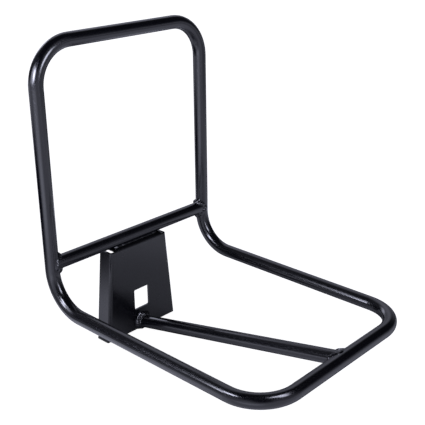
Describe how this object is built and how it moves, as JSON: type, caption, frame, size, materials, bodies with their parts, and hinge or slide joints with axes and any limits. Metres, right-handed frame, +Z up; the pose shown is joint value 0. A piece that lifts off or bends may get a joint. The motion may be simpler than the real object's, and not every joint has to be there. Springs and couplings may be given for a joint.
{
  "type": "bicycle carrier frame",
  "caption": "L-shaped welded tube carrier frame with flat shelf, upright back, sloping strut and a hook-on sheet bracket with a latch window.",
  "frame": {"origin": "middle of the bracket's inner seat face, on the frame's centre plane", "axes": "+X across the frame, +Y out of the open back of the bracket towards the block it hangs on, +Z up the upright; the shelf runs to -Y"},
  "size_m": [0.1948, 0.2474, 0.2859],
  "materials": {
    "powder_coated_tube": "satin black powder coat on steel tube",
    "powder_coated_sheet": "satin black powder coat on folded steel sheet",
    "powder_coated_weld": "black powder coat over rippled weld metal"
  },
  "bodies": {
    "root": {"loop_tube": "powder_coated_tube", "cross_tube": "powder_coated_tube", "strut_tube": "powder_coated_tube", "mounting_bracket": "powder_coated_sheet", "loop_seam_weld": "powder_coated_weld", "cross_tube_weld_left": "powder_coated_weld", "cross_tube_weld_right": "powder_coated_weld", "strut_front_weld": "powder_coated_weld", "strut_rear_weld": "powder_coated_weld", "bracket_weld_front": "powder_coated_weld", "bracket_weld_rear": "powder_coated_weld"}
  },
  "joints": []
}
